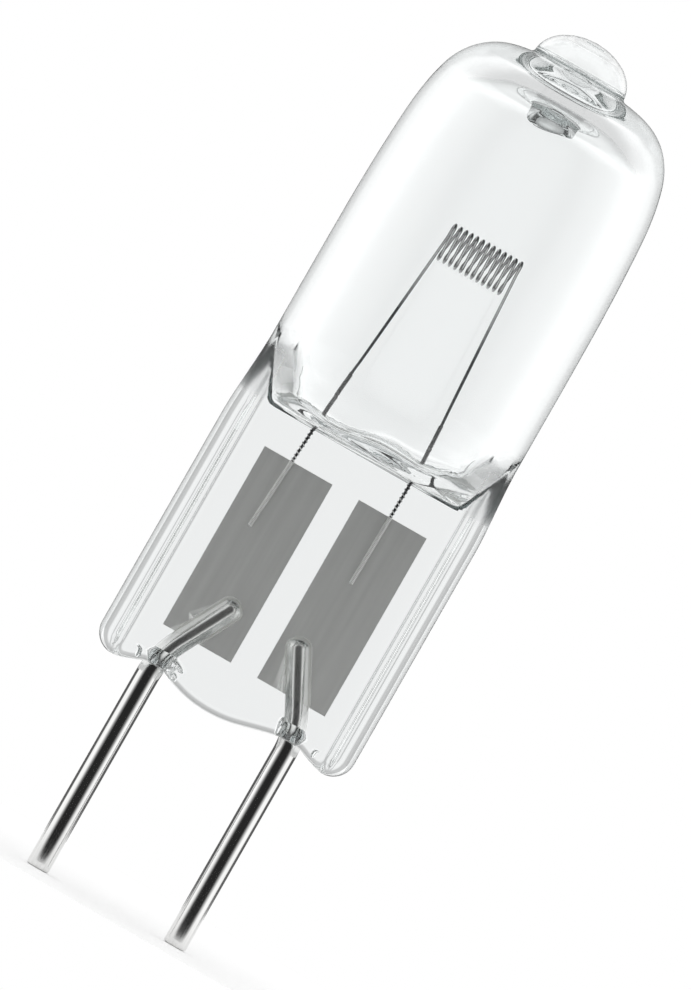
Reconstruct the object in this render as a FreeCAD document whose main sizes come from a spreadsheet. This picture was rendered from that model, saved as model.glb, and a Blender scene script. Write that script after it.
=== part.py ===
"""Halogen capsule bulb with two contact pins, in millimetres.

The frame has its origin between the free ends of the pins, +Z up the bulb's axis to the exhaust tip,
+X from the left pin to the right one, and the viewer on the -Y side.
"""
import FreeCAD, Part
import Sketcher
import math
import os

Vector = FreeCAD.Vector

# Driving sizes, in millimetres and degrees
SIZES = {
    # Contact pins, which are bent inwards inside the seal
    "pin_spacing": 6.35,
    "pin_diameter": 1.0,
    "pin_straight": 8.9,
    "pin_edge_chamfer": 0.1,
    "pin_bend_radius": 4.0,
    "pin_bend_angle": 28,
    "pin_inner_run": 2.85,
    # Flat pinch seal, with a rib down each side
    "seal_lift": 0.1,
    "pinch_flare": 0.38,
    "pinch_height": 12.0,
    "pinch_taper": 1.2,
    "pinch_corner": 0.95,
    "pinch_edge_chamfer": 0.4,
    "web_thickness": 3.2,
    "rib_thickness": 4.0,
    "rib_width": 0.7,
    "rib_slope": 0.45,
    "exit_rise": 0.45,
    "exit_margin": 0.05,
    "tongue_drop": 0.15,
    # Bulb above the seal
    "bulb_diameter": 11.3,
    "bulb_height": 17.58,
    "bulb_wall": 1.0,
    "heel_height": 2.0,
    "heel_inset": 0.95,
    "heel_round": 0.3,
    "haunch_height": 10.5,
    "haunch_radius": 20.5,
    "crown_radius": 15.0,
    "crown_wall": 1.15,
    "dome_corner": 2.5,
    "floor_wall": 0.5,
    "floor_dish": 0.5,
    # Exhaust tip, sealed off outside and open inside
    "tip_diameter": 4.06,
    "tip_height": 1.42,
    "stub_diameter": 2.1,
    "stub_drop": 1.35,
    "stub_chamfer": 0.2,
    "stub_bore": 1.0,
    "stub_bore_depth": 1.7,
    # Sealing foils
    "foil_width": 3.14,
    "foil_length": 8.25,
    "foil_thickness": 0.03,
    "foil_pitch": 4.36,
    "foil_shift": 0.1,
    "foil_bottom": 2.05,
    "capillary_gap": 0.05,
    # Filament, one wire with its coil and both legs
    "wire_diameter": 0.1,
    "wire_sides": 6,
    "loop_segments": 5,
    "coil_turns": 12,
    "coil_pitch": 0.255,
    "coil_height": 1.66,
    "coil_depth": 0.7,
    "coil_shift": 0.13,
    "light_centre": 30.05,
    "leg_bend_drop": 0.3,
    "leg_bend_radius": 2.0,
    "leg_overlap": 3.1,
    "leg_seal_rise": 0.75,
    "leg_seal_left": -0.15,
    "leg_seal_right": -0.08,
    "leg_end_left": -0.52,
    "leg_end_right": -0.18,
    # Sleeves wound on the legs
    "sleeve_diameter": 0.2,
    "sleeve_clearance": 0.005,
    "sleeve_rise": 2.4,
}

# Heights above the pin ends, as sums of the driving sizes
PINCH_BOTTOM = "(sizes.pin_straight + sizes.seal_lift)"
PINCH_TOP = f"({PINCH_BOTTOM} + sizes.pinch_height)"
CROWN = f"({PINCH_TOP} + sizes.bulb_height)"
HEEL_TOP = f"({PINCH_TOP} + sizes.heel_height)"
HAUNCH = f"({PINCH_TOP} + sizes.haunch_height)"
CROWN_HUB = f"({CROWN} - sizes.crown_radius)"
FOIL_BOTTOM = f"({PINCH_BOTTOM} + sizes.foil_bottom)"
FOIL_TOP = f"({FOIL_BOTTOM} + sizes.foil_length)"
PINCH_WIDTH = "(sizes.bulb_diameter + sizes.pinch_flare)"

SIDES = {"left": -1, "right": 1}

doc = FreeCAD.newDocument("capsule_bulb")
sheet = doc.addObject("Spreadsheet::Sheet", "sizes")
for row, (alias, number) in enumerate(SIZES.items(), start=1):
    sheet.set(f"A{row}", str(number))
    sheet.setAlias(f"A{row}", alias)
doc.recompute()


def value(expression):
    """Number that an expression of sheet values gives."""
    return float(sheet.evalExpression(str(expression)))


def plane_of(body, role):
    """One of the body's own origin planes or axes."""
    return next(item for item in body.Origin.OriginFeatures if item.Role == role)


def arc_through(start, end, radius, bulge):
    """Short arc from start to end, bulging to the left or right of its own direction."""
    chord = end - start
    middle = (start + end) * 0.5
    leftward = Vector(-chord.y, chord.x, 0).normalize()
    reach = math.sqrt(max(radius ** 2 - (chord.Length / 2) ** 2, 0))
    sign = 1 if bulge == "left" else -1
    centre = middle - leftward * reach * sign
    first, last = (end, start) if bulge == "left" else (start, end)
    angles = [math.atan2(spot.y - centre.y, spot.x - centre.x) for spot in (first, last)]
    return Part.ArcOfCircle(Part.Circle(centre, Vector(0, 0, 1), radius), *angles)


def profile(body, name, role, points, outline):
    """Sketch on one of the body's planes: corners tied to the sheet, joined by lines and arcs."""
    sketch = body.newObject("Sketcher::SketchObject", name)
    sketch.AttachmentSupport = (plane_of(body, role), "")
    sketch.MapMode = "FlatFace"
    spots = {key: Vector(value(x), value(y), 0) for key, (x, y) in points.items()}
    placed = {}
    for start, end, *bend in outline:
        ends = {start: 1, end: 2}
        if bend:
            radius, bulge = bend
            arc = arc_through(spots[start], spots[end], value(radius), bulge)
            index = sketch.addGeometry(arc)
            ends = {start: 2, end: 1} if bulge == "left" else ends
        else:
            index = sketch.addGeometry(Part.LineSegment(spots[start], spots[end]))
        for key, vertex in ends.items():
            if key in placed:
                sketch.addConstraint(Sketcher.Constraint("Coincident", index, vertex, *placed[key]))
                continue
            placed[key] = (index, vertex)
            for kind, axis in (("DistanceX", 0), ("DistanceY", 1)):
                rule = Sketcher.Constraint(kind, -1, 1, index, vertex, spots[key][axis])
                sketch.setExpression(f"Constraints[{sketch.addConstraint(rule)}]", points[key][axis])
        if bend:
            rule = Sketcher.Constraint("Radius", index, value(radius))
            sketch.setExpression(f"Constraints[{sketch.addConstraint(rule)}]", radius)
    return sketch


def circle_sketch(body, name, x, y, diameter):
    """Sketch of one circle on the body's level plane."""
    sketch = body.newObject("Sketcher::SketchObject", name)
    sketch.AttachmentSupport = (plane_of(body, "XY_Plane"), "")
    sketch.MapMode = "FlatFace"
    centre = Vector(value(x), value(y), 0)
    index = sketch.addGeometry(Part.Circle(centre, Vector(0, 0, 1), value(diameter) / 2))
    rules = (
        (Sketcher.Constraint("DistanceX", -1, 1, index, 3, centre.x), x),
        (Sketcher.Constraint("DistanceY", -1, 1, index, 3, centre.y), y),
        (Sketcher.Constraint("Diameter", index, value(diameter)), diameter),
    )
    for rule, expression in rules:
        sketch.setExpression(f"Constraints[{sketch.addConstraint(rule)}]", str(expression))
    return sketch


def revolve(body, name, sketch):
    """Full turn of a sketch about the bulb's axis."""
    feature = body.newObject("PartDesign::Revolution", name)
    feature.Profile = sketch
    feature.ReferenceAxis = (plane_of(body, "Z_Axis"), "")
    feature.Angle = 360
    doc.recompute()
    return feature


def pocket_through(body, name, sketch):
    """Cut of a sketch right through the body, to both sides of its plane."""
    feature = body.newObject("PartDesign::Pocket", name)
    feature.Profile = sketch
    feature.Type = "ThroughAll"
    feature.Midplane = True
    doc.recompute()
    return feature


def fillet(body, name, base, radius, test):
    """Round on the edges of a feature that pass a test."""
    feature = body.newObject("PartDesign::Fillet", name)
    edges = [f"Edge{number}" for number, edge in enumerate(base.Shape.Edges, start=1) if test(edge)]
    feature.Base = (base, edges)
    feature.setExpression("Radius", radius)
    doc.recompute()
    return feature


def chamfer(body, name, base, size, test):
    """Bevel on the edges of a feature that pass a test."""
    feature = body.newObject("PartDesign::Chamfer", name)
    edges = [f"Edge{number}" for number, edge in enumerate(base.Shape.Edges, start=1) if test(edge)]
    feature.Base = (base, edges)
    feature.setExpression("Size", size)
    doc.recompute()
    return feature


def near(edge, x, z, reach=0.02):
    """Whether the middle of an edge's box lies at x and z."""
    centre = edge.BoundBox.Center
    return abs(centre.x - x) < reach and abs(centre.z - z) < reach


def ring_at(edge, radius, reach=0.01):
    """Whether an edge is a circle of this radius about the bulb's axis."""
    if edge.Degenerated or not isinstance(edge.Curve, Part.Circle):
        return False
    centre = edge.Curve.Center
    return abs(edge.Curve.Radius - radius) < reach and math.hypot(centre.x, centre.y) < reach


def lies_at(edge, height, reach=0.001):
    """Whether an edge lies in a face of the web and reaches down to a height."""
    box = edge.BoundBox
    web_y = value("sizes.web_thickness / 2")
    return box.YLength < reach and abs(abs(box.YMin) - web_y) < reach and abs(box.ZMin - height) < reach


# Contact pins


def pin(name, side, growth):
    """Round wire of one contact pin: straight outside, bent inwards, and grown all round."""
    sign = SIDES[side]
    bend = "sizes.pin_bend_angle"
    outer_x = f"{sign} * sizes.pin_spacing / 2"
    turned_x = f"{sign} * (sizes.pin_spacing / 2 - sizes.pin_bend_radius * (1 - cos({bend})))"
    turned_z = f"sizes.pin_straight + sizes.pin_bend_radius * sin({bend})"
    run = f"(sizes.pin_inner_run + {growth})"
    points = {
        "free": (outer_x, "0"),
        "bent": (outer_x, "sizes.pin_straight"),
        "turned": (turned_x, turned_z),
        "inner": (f"{turned_x} - {sign} * {run} * sin({bend})", f"{turned_z} + {run} * cos({bend})"),
    }
    bulge = "right" if sign > 0 else "left"
    outline = [("free", "bent"), ("bent", "turned", "sizes.pin_bend_radius", bulge), ("turned", "inner")]
    body = doc.addObject("PartDesign::Body", name)
    path = profile(body, f"{name}_path", "XZ_Plane", points, outline)
    section = circle_sketch(body, f"{name}_section", outer_x, "0", f"sizes.pin_diameter + 2 * {growth}")
    wire = body.newObject("PartDesign::AdditivePipe", f"{name}_wire")
    wire.Profile = section
    wire.Spine = (path, ["Edge1", "Edge2", "Edge3"])
    doc.recompute()
    free_x = value(outer_x)
    chamfer(body, f"{name}_free_end", wire, "sizes.pin_edge_chamfer", lambda edge: near(edge, free_x, 0))
    return body


# Sealing foils


def foil_centre(side):
    """Distance of a foil's middle line from the bulb's axis."""
    return f"({SIDES[side]} * sizes.foil_pitch / 2 + sizes.foil_shift)"


def foil_box(name, side, depth):
    """Box over the whole face of one foil, from the seal's middle plane towards the viewer."""
    box = doc.addObject("Part::Box", name)
    box.setExpression("Length", "sizes.foil_width")
    box.setExpression("Width", depth)
    box.setExpression("Height", "sizes.foil_length")
    box.setExpression("Placement.Base.x", f"{foil_centre(side)} - sizes.foil_width / 2")
    box.setExpression("Placement.Base.y", f"-1 * {depth}")
    box.setExpression("Placement.Base.z", FOIL_BOTTOM)
    return box


def foil(side, pin_solid):
    """Flat foil with a channel pressed over the inner end of its pin."""
    name = f"foil_{side}"
    plate = foil_box(f"{name}_plate", side, "sizes.foil_thickness")
    front = foil_box(f"{name}_front", side, "sizes.pin_diameter")
    jacket = pin(f"{name}_jacket", side, "sizes.foil_thickness")
    channel = doc.addObject("Part::Common", f"{name}_channel")
    channel.Base = jacket
    channel.Tool = front
    draped = doc.addObject("Part::Fuse", f"{name}_draped")
    draped.Base = plate
    draped.Tool = channel
    sheet_foil = doc.addObject("Part::Cut", name)
    sheet_foil.Base = draped
    sheet_foil.Tool = pin_solid
    doc.recompute()
    return sheet_foil, plate


# Filament and the sleeves on its legs


def rounded(points, radius):
    """Edges of a path through points, its inner corners rounded by tangent arcs."""
    edges = []
    start = points[0]
    for before, corner, after in zip(points, points[1:], points[2:]):
        back = (before - corner).normalize()
        onward = (after - corner).normalize()
        half = back.getAngle(onward) / 2
        tangent = radius / math.tan(half)
        centre = corner + (back + onward).normalize() * (radius / math.sin(half))
        middle = centre + (corner - centre).normalize() * radius
        entry = corner + back * tangent
        leave = corner + onward * tangent
        edges.append(Part.LineSegment(start, entry).toShape())
        edges.append(Part.Arc(entry, middle, leave).toShape())
        start = leave
    edges.append(Part.LineSegment(start, points[-1]).toShape())
    return edges


def coil_frame():
    """Centre-line sizes of the coil: loop radius, strand ends, depth, and the first strand's place."""
    pitch = value("sizes.coil_pitch")
    depth = value("sizes.coil_depth - sizes.wire_diameter")
    loop = math.hypot(pitch / 2, depth) / 2
    reach = value("(sizes.coil_height - sizes.wire_diameter) / 2") - loop
    middle = value("sizes.light_centre")
    first = value("sizes.coil_shift - (sizes.coil_turns + 0.5) * sizes.coil_pitch / 2")
    return pitch, depth, loop, middle - reach, middle + reach, first


def half_loop(start, middle, end):
    """Half circle from strand to strand, as a chain of short straight edges."""
    count = round(value("sizes.loop_segments"))
    spots = Part.Arc(start, middle, end).toShape().discretize(Number=count + 1)
    return [Part.LineSegment(a, b).toShape() for a, b in zip(spots, spots[1:])]


def coil_edges():
    """Straight strands, front and back, joined by half loops above and below."""
    pitch, depth, loop, low, high, first = coil_frame()
    turns = round(value("sizes.coil_turns"))
    half = Vector(pitch / 2, depth, 0)
    back_half = Vector(pitch / 2, -depth, 0)
    rise = Vector(0, 0, high - low)
    edges = []
    for turn in range(turns + 1):
        front = Vector(first + turn * pitch, -depth / 2, high)
        back = front + half
        edges += half_loop(front, front + half / 2 + Vector(0, 0, loop), back)
        if turn < turns:
            under = back - rise
            nearer = under + back_half
            edges.append(Part.LineSegment(back, under).toShape())
            edges += half_loop(under, under + back_half / 2 - Vector(0, 0, loop), nearer)
            edges.append(Part.LineSegment(nearer, nearer + rise).toShape())
    return edges


def leg_points(side):
    """Corners of one leg, from its end on the foil up to the coil."""
    pitch, depth, _, _, high, first = coil_frame()
    turns = round(value("sizes.coil_turns"))
    on_foil = value("-1 * (sizes.foil_thickness + sizes.sleeve_diameter / 2)")
    coil_end = {
        "left": Vector(first, -depth / 2, high),
        "right": Vector(first + (turns + 0.5) * pitch, depth / 2, high),
    }[side]
    end = Vector(value(f"{foil_centre(side)} + sizes.leg_end_{side}"), on_foil,
                 value(f"{FOIL_TOP} - sizes.leg_overlap"))
    seal = Vector(value(f"{foil_centre(side)} + sizes.leg_seal_{side}"), on_foil,
                  value(f"{PINCH_TOP} + sizes.leg_seal_rise"))
    bend = coil_end - Vector(0, 0, value("sizes.leg_bend_drop"))
    return [end, seal, bend, coil_end]


def swept(name, edges, diameter):
    """Fine rod along a path, its section drawn with a few sides."""
    path = doc.addObject("Part::Feature", f"{name}_path")
    path.Shape = Part.Wire(edges)
    section = doc.addObject("Part::RegularPolygon", f"{name}_section")
    section.setExpression("Polygon", "sizes.wire_sides")
    section.setExpression("Circumradius", f"({diameter}) / 2")
    start = edges[0].firstVertex(True).Point
    heading = edges[0].tangentAt(edges[0].FirstParameter)
    section.Placement = FreeCAD.Placement(start, FreeCAD.Rotation(Vector(0, 0, 1), heading))
    rod = doc.addObject("Part::Sweep", name)
    rod.Sections = [section]
    rod.Spine = (path, [f"Edge{number}" for number in range(1, len(edges) + 1)])
    rod.Solid = True
    rod.Transition = "Right corner"
    doc.recompute()
    return rod


def filament():
    """One wire: left leg, coil and right leg."""
    radius = value("sizes.leg_bend_radius")
    up = rounded(leg_points("left"), radius)
    down = rounded(leg_points("right")[::-1], radius)
    return swept("filament", up + coil_edges() + down, "sizes.wire_diameter")


def sleeve(side):
    """Tube of fine winding round the lower leg, through the seal and on to the foil."""
    end, seal, bend, _ = leg_points(side)
    share = value("sizes.sleeve_rise - sizes.leg_seal_rise") / (bend.z - seal.z)
    edges = rounded([end, seal, seal + (bend - seal) * share], value("sizes.leg_bend_radius"))
    name = f"leg_sleeve_{side}"
    outer = swept(f"{name}_outer", edges, "sizes.sleeve_diameter")
    bore = swept(f"{name}_bore", edges, "sizes.wire_diameter + 2 * sizes.sleeve_clearance")
    tube = doc.addObject("Part::Cut", name)
    tube.Base = outer
    tube.Tool = bore
    doc.recompute()
    return tube, outer


# Quartz envelope


def pinch(body):
    """Flat seal: a round blank pressed to a web with two ribs, and trimmed to its wavy lower edge."""
    half_width = f"{PINCH_WIDTH} / 2"
    blank_low = f"{PINCH_BOTTOM} - 2 * sizes.tongue_drop"
    blank_points = {
        "axis_low": ("0", blank_low),
        "side_low": (half_width, blank_low),
        "side_high": (half_width, f"{PINCH_TOP} - sizes.pinch_taper"),
        "heel": ("sizes.bulb_diameter / 2", HEEL_TOP),
        "axis_high": ("0", HEEL_TOP),
    }
    revolve(body, "blank", profile(body, "blank_section", "XZ_Plane", blank_points, ring_of(blank_points)))

    rib_x = f"({half_width} - sizes.rib_width)"
    web_x = f"({rib_x} - sizes.rib_slope)"
    frame = PINCH_WIDTH
    for face, sign in (("front", -1), ("back", 1)):
        rib_y = f"{sign} * sizes.rib_thickness / 2"
        web_y = f"{sign} * sizes.web_thickness / 2"
        press_points = {
            "outer_left": (f"-1 * {frame}", f"{sign} * {frame}"),
            "rib_left": (f"-1 * {frame}", rib_y),
            "slope_left": (f"-1 * {rib_x}", rib_y),
            "web_left": (f"-1 * {web_x}", web_y),
            "web_right": (web_x, web_y),
            "slope_right": (rib_x, rib_y),
            "rib_right": (frame, rib_y),
            "outer_right": (frame, f"{sign} * {frame}"),
        }
        section = profile(body, f"press_{face}_section", "XY_Plane", press_points, ring_of(press_points))
        pocket_through(body, f"press_{face}", section)

    corner = "sizes.pinch_corner"
    exit_half = "(sizes.pin_diameter / 2 + sizes.exit_margin)"
    exit_z = f"{PINCH_BOTTOM} + sizes.exit_rise"
    sag = "(sizes.exit_rise + sizes.tongue_drop)"
    chord = f"(sizes.pin_spacing / 2 - {exit_half})"
    tongue = f"({chord} * {chord} + {sag} * {sag}) / (2 * {sag})"
    trim_points = {}
    for side, sign in SIDES.items():
        trim_points.update({
            f"low_{side}": (f"{sign} * {frame}", "0"),
            f"out_{side}": (f"{sign} * {frame}", f"{PINCH_BOTTOM} + {corner}"),
            f"side_{side}": (f"{sign} * {half_width}", f"{PINCH_BOTTOM} + {corner}"),
            f"foot_{side}": (f"{sign} * ({half_width} - {corner})", PINCH_BOTTOM),
            f"outer_{side}": (f"{sign} * (sizes.pin_spacing / 2 + {exit_half})", exit_z),
            f"inner_{side}": (f"{sign} * (sizes.pin_spacing / 2 - {exit_half})", exit_z),
        })
    trim = [
        ("low_left", "low_right"),
        ("low_right", "out_right"),
        ("out_right", "side_right"),
        ("side_right", "foot_right", corner, "left"),
        ("foot_right", "outer_right"),
        ("outer_right", "inner_right"),
        ("inner_right", "inner_left", tongue, "left"),
        ("inner_left", "outer_left"),
        ("outer_left", "foot_left"),
        ("foot_left", "side_left", corner, "left"),
        ("side_left", "out_left"),
        ("out_left", "low_left"),
    ]
    trimmed = pocket_through(body, "trim", profile(body, "trim_section", "XZ_Plane", trim_points, trim))
    tongue_low = value(f"{PINCH_BOTTOM} - sizes.tongue_drop")
    chamfer(body, "tongue_edge", trimmed, "sizes.pinch_edge_chamfer", lambda edge: lies_at(edge, tongue_low))


def ring_of(points):
    """Outline of straight lines round all the points, in order."""
    names = list(points)
    return list(zip(names, names[1:] + names[:1]))


def dome_ends(haunch_arc, crown_arc, corner_arc):
    """Ends of the arc that joins haunch and crown without a kink, on the haunch and on the crown."""
    hub_x = "(sizes.bulb_diameter / 2 - sizes.haunch_radius)"
    hub_drop = f"({HAUNCH} - {CROWN_HUB})"
    apart = f"({hub_x} * {hub_x} + {hub_drop} * {hub_drop})"
    to_hub = f"({haunch_arc} - {corner_arc})"
    to_crown = f"({crown_arc} - {corner_arc})"
    share = f"((({to_hub} * {to_hub} - {to_crown} * {to_crown}) / {apart} + 1) / 2)"
    aside = f"sqrt({to_hub} * {to_hub} / {apart} - {share} * {share})"
    centre_x = f"({hub_x} * (1 - {share}) + {hub_drop} * {aside})"
    centre_rise = f"({hub_drop} * (1 - {share}) - {hub_x} * {aside})"
    on_haunch = (
        f"{hub_x} + ({centre_x} - {hub_x}) * {haunch_arc} / {to_hub}",
        f"{HAUNCH} + ({centre_rise} - {hub_drop}) * {haunch_arc} / {to_hub}",
    )
    on_crown = (
        f"{centre_x} * {crown_arc} / {to_crown}",
        f"{CROWN_HUB} + {centre_rise} * {crown_arc} / {to_crown}",
    )
    return on_haunch, on_crown


def envelope_outside():
    """Body of the glass without its hollow."""
    body = doc.addObject("PartDesign::Body", "envelope_outside")
    pinch(body)
    haunch_end, crown_end = dome_ends("sizes.haunch_radius", "sizes.crown_radius", "sizes.dome_corner")
    tip_half = "sizes.tip_diameter / 2"
    tip_seat = f"sqrt(sizes.crown_radius * sizes.crown_radius - {tip_half} * {tip_half})"
    tip_rise = f"(sizes.tip_height + sizes.crown_radius - {tip_seat})"
    points = {
        "axis_low": ("0", PINCH_TOP),
        "floor": ("sizes.bulb_diameter / 2 - sizes.heel_inset", PINCH_TOP),
        "heel": ("sizes.bulb_diameter / 2", HEEL_TOP),
        "haunch": ("sizes.bulb_diameter / 2", HAUNCH),
        "haunch_end": haunch_end,
        "crown_end": crown_end,
        "tip_root": (tip_half, f"{CROWN_HUB} + {tip_seat}"),
        "tip_top": ("0", f"{CROWN} + sizes.tip_height"),
    }
    tip_radius = f"({tip_half} * {tip_half} + {tip_rise} * {tip_rise}) / (2 * {tip_rise})"
    outline = [
        ("axis_low", "floor"),
        ("floor", "heel"),
        ("heel", "haunch"),
        ("haunch", "haunch_end", "sizes.haunch_radius", "right"),
        ("haunch_end", "crown_end", "sizes.dome_corner", "right"),
        ("crown_end", "tip_root", "sizes.crown_radius", "right"),
        ("tip_root", "tip_top", tip_radius, "right"),
        ("tip_top", "axis_low"),
    ]
    bulb = revolve(body, "bulb", profile(body, "bulb_section", "XZ_Plane", points, outline))
    seat = value(PINCH_TOP)
    fillet(body, "heel_seat", bulb, "sizes.heel_round",
           lambda edge: lies_at(edge, seat) and edge.BoundBox.ZLength < 0.001)
    return body


def cavity():
    """Hollow of the bulb, with the open end of the exhaust tube standing into it."""
    body = doc.addObject("PartDesign::Body", "cavity")
    rim_z = f"{CROWN} - sizes.crown_wall - sizes.stub_drop"
    bore_z = f"{rim_z} + sizes.stub_bore_depth"
    edge_z = f"{PINCH_TOP} + sizes.floor_wall + sizes.floor_dish"
    inner_half = "sizes.bulb_diameter / 2 - sizes.bulb_wall"
    haunch_arc = "(sizes.haunch_radius - sizes.bulb_wall)"
    crown_arc = "(sizes.crown_radius - sizes.crown_wall)"
    corner_arc = "(sizes.dome_corner - sizes.bulb_wall)"
    haunch_end, crown_end = dome_ends(haunch_arc, crown_arc, corner_arc)
    stub_half = "sizes.stub_diameter / 2"
    stub_seat = f"sqrt({crown_arc} * {crown_arc} - {stub_half} * {stub_half})"
    points = {
        "bore_top": ("0", bore_z),
        "bore_end": ("sizes.stub_bore / 2", bore_z),
        "bore_rim": ("sizes.stub_bore / 2", rim_z),
        "stub_rim": (stub_half, rim_z),
        "stub_root": (stub_half, f"{CROWN_HUB} + {stub_seat}"),
        "crown_end": crown_end,
        "haunch_end": haunch_end,
        "haunch": (inner_half, HAUNCH),
        "heel": (inner_half, HEEL_TOP),
        "floor_edge": (f"{inner_half} - sizes.heel_inset", edge_z),
        "floor": ("0", f"{PINCH_TOP} + sizes.floor_wall"),
    }
    outline = [
        ("bore_top", "bore_end"),
        ("bore_end", "bore_rim"),
        ("bore_rim", "stub_rim"),
        ("stub_rim", "stub_root"),
        ("stub_root", "crown_end", crown_arc, "left"),
        ("crown_end", "haunch_end", corner_arc, "left"),
        ("haunch_end", "haunch", haunch_arc, "left"),
        ("haunch", "heel"),
        ("heel", "floor_edge"),
        ("floor_edge", "floor"),
        ("floor", "bore_top"),
    ]
    hollow = revolve(body, "hollow", profile(body, "hollow_section", "XZ_Plane", points, outline))
    rim, rim_height = (value(place) for place in points["stub_rim"])
    chamfer(body, "hollow_rim", hollow, "sizes.stub_chamfer",
            lambda edge: ring_at(edge, rim) and near(edge, 0, rim_height))
    return body


def envelope(embedded):
    """Glass with its hollow, closed round everything that is sealed into it."""
    filled = doc.addObject("Part::MultiFuse", "envelope_contents")
    filled.Shapes = embedded
    glass = doc.addObject("Part::Cut", "quartz_envelope")
    glass.Base = envelope_outside()
    glass.Tool = filled
    doc.recompute()
    return glass


def build():
    """All the nodes of the bulb."""
    nodes = [filament()]
    embedded = [cavity()]
    for side in SIDES:
        pin_solid = pin(f"pin_{side}", side, "0")
        foil_solid, plate = foil(side, pin_solid)
        tube, tube_outer = sleeve(side)
        bore = pin(f"pin_{side}_bore", side, "sizes.capillary_gap")
        embedded += [bore, plate, tube_outer]
        nodes += [pin_solid, foil_solid, tube]
    nodes.append(envelope(embedded))
    return nodes


def check(nodes):
    """Stop before anything is written if an object failed or a node is not one sound solid."""
    failed = [item.Name for item in doc.Objects if {"Invalid", "Error"} & set(item.State)]
    if failed:
        raise RuntimeError(f"failed objects: {failed}")
    for node in nodes:
        if node.Shape.isNull() or not node.Shape.isValid() or len(node.Shape.Solids) != 1:
            raise RuntimeError(f"{node.Label} is not one valid solid")


nodes = build()
check(nodes)
os.makedirs("parts", exist_ok=True)
for node in nodes:
    node.Shape.exportStep(f"parts/{node.Label}.step")
    print(node.Label, round(node.Shape.Volume, 4), len(node.Shape.Faces))
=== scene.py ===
"""Halogen capsule bulb: quartz envelope, sealing foils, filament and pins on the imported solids.

Sizes are in metres on the panel and in millimetres in the shape functions. The frame is the
packed one: origin between the pin ends, +Z up the bulb, -Y towards the viewer.
"""
import math

import bpy
import numpy as np
from bpy.props import FloatProperty, FloatVectorProperty, IntProperty, PointerProperty
from mathutils import Matrix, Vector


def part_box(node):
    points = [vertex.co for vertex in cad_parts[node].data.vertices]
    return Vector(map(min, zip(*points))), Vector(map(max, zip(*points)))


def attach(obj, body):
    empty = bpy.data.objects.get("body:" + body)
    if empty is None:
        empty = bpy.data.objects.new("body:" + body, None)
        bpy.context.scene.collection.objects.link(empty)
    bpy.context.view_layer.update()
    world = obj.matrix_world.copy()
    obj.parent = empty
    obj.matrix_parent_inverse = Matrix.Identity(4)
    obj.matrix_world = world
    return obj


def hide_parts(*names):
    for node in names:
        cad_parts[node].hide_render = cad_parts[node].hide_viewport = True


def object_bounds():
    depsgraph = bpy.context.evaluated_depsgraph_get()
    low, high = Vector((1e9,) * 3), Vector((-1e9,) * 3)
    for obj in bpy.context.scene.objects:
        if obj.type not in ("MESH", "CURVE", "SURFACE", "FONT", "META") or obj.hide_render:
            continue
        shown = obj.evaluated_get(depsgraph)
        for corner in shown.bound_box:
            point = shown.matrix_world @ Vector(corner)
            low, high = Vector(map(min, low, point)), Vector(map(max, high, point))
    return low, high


bl_info = {
    "name": "Halogen capsule bulb",
    "version": (1, 0, 0),
    "blender": (4, 5, 0),
    "location": "View3D > Sidebar > Capsule bulb",
    "description": "Builds the quartz envelope, foils, filament and pins of a capsule bulb",
    "category": "Object",
}

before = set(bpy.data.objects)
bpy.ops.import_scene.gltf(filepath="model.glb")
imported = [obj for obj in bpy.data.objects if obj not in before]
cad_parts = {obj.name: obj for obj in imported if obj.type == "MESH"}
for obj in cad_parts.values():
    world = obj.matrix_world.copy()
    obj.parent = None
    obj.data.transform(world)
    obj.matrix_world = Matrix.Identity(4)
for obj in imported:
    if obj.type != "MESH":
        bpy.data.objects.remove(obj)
CAD_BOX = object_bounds()
MM = 0.001
SIDES = {"left": -1, "right": 1}
FOIL_BOX = {side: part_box(f"foil_{side}") for side in SIDES}


def linear(colour):
    """Linear colour of an sRGB hex value."""
    parts = [int(colour[at:at + 2], 16) / 255 for at in (1, 3, 5)]
    return [part / 12.92 if part <= 0.04045 else ((part + 0.055) / 1.055) ** 2.4 for part in parts]


def fill(tree, node, inputs):
    """Sets or links a node's inputs."""
    for key, given in inputs.items():
        if isinstance(given, bpy.types.NodeSocket):
            tree.links.new(given, node.inputs[key])
        else:
            node.inputs[key].default_value = given


def add(tree, kind, inputs=None, **settings):
    """Adds one node with its settings and its inputs."""
    node = tree.nodes.new(kind)
    for name, setting in settings.items():
        setattr(node, name, setting)
    fill(tree, node, inputs or {})
    return node


# Sizes and colours that a user may change

# The bulb's round side stays this far inside the CAD box
BOX_CLEARANCE = 0.003 * MM


def length(name, description, default):
    """Property for a length."""
    return FloatProperty(name=name, description=description, default=default, unit="LENGTH",
                         precision=5)


class QuartzSettings(bpy.types.PropertyGroup):
    """Sizes of the quartz envelope."""
    bulb_radius: length("Bulb radius", "Radius of the bulb above its shoulder",
                        CAD_BOX[1][1] - BOX_CLEARANCE)
    wall: length("Wall", "Thickness of the bulb's side wall", 1.0 * MM)
    crown_wall: length("Crown wall", "Thickness of the dome at the axis", 1.15 * MM)
    seal_half_width: length("Seal half width", "Half the width of the flat seal", CAD_BOX[1][0])
    cell: length("Cell", "Distance between the mesh points across the envelope", 0.156 * MM)


class MetalSettings(bpy.types.PropertyGroup):
    """Sizes of the wires and foils."""
    pin_diameter: length("Pin diameter", "Diameter of the contact pins", 1.0 * MM)
    wire_diameter: length("Filament wire", "Diameter of the filament's wire", 0.12 * MM)
    winding_diameter: length("Winding", "Outside diameter of the winding on the legs", 0.2 * MM)
    winding_pitch: length("Winding pitch", "Distance from turn to turn of the winding", 0.062 * MM)
    foil_thickness: length("Foil thickness", "Thickness of the sealing foils", 0.03 * MM)
    pin_sides: IntProperty(
        name="Pin sides", description="Faces round a contact pin", default=64, min=8)


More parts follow.
